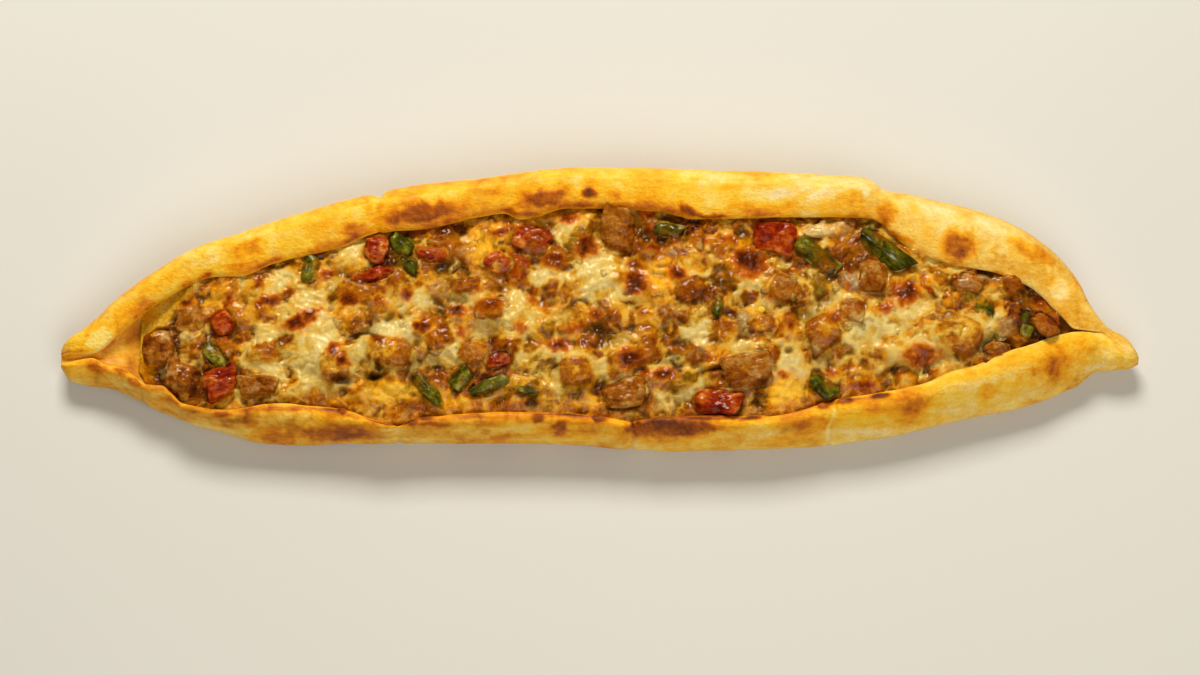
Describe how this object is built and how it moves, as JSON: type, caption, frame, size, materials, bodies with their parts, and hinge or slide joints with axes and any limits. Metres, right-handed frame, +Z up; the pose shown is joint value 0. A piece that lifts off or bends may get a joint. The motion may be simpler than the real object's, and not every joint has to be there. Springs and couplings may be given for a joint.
{
  "type": "meat and cheese pie",
  "caption": "Open boat-shaped baked flatbread pie with a rolled golden rim, pinched pointed ends and a hollow filled with diced meat, tomato, onion and green pepper under melted cheese.",
  "frame": {"origin": "centre of the bounding box's flat base", "axes": "+X along the boat towards the tightly pinched tip, +Y towards the wide rolled rim, +Z up"},
  "size_m": [0.431, 0.1156, 0.0278],
  "materials": {
    "crust": "baked bread crust, golden with browned spots",
    "filling": "diced meat and vegetables under melted, toasted cheese",
    "meat": "browned roast meat, glossy with fat",
    "tomato": "cooked wet tomato",
    "pepper": "cooked green pepper skin",
    "onion": "softened onion, translucent cream"
  },
  "bodies": {
    "root": {"crust": "crust", "filling": "filling", "meat_01": "meat", "meat_02": "meat", "meat_03": "meat", "meat_04": "meat", "meat_05": "meat", "meat_06": "meat", "meat_07": "meat", "meat_08": "meat", "meat_09": "meat", "meat_10": "meat", "meat_11": "meat", "meat_12": "meat", "meat_13": "meat", "meat_14": "meat", "meat_15": "meat", "meat_16": "meat", "meat_17": "meat", "meat_18": "meat", "meat_19": "meat", "meat_20": "meat", "meat_21": "meat", "meat_22": "meat", "meat_23": "meat", "meat_24": "meat", "meat_25": "meat", "meat_26": "meat", "tomato_01": "tomato", "tomato_02": "tomato", "tomato_03": "tomato", "tomato_04": "tomato", "tomato_05": "tomato", "tomato_06": "tomato", "tomato_07": "tomato", "tomato_08": "tomato", "tomato_09": "tomato", "tomato_10": "tomato", "pepper_01": "pepper", "pepper_02": "pepper", "pepper_03": "pepper", "pepper_04": "pepper", "pepper_05": "pepper", "pepper_06": "pepper", "pepper_07": "pepper", "pepper_08": "pepper", "pepper_09": "pepper", "pepper_10": "pepper", "pepper_11": "pepper", "pepper_12": "pepper", "pepper_13": "pepper", "pepper_14": "pepper", "pepper_15": "pepper", "onion_01": "onion", "onion_02": "onion"}
  },
  "joints": []
}
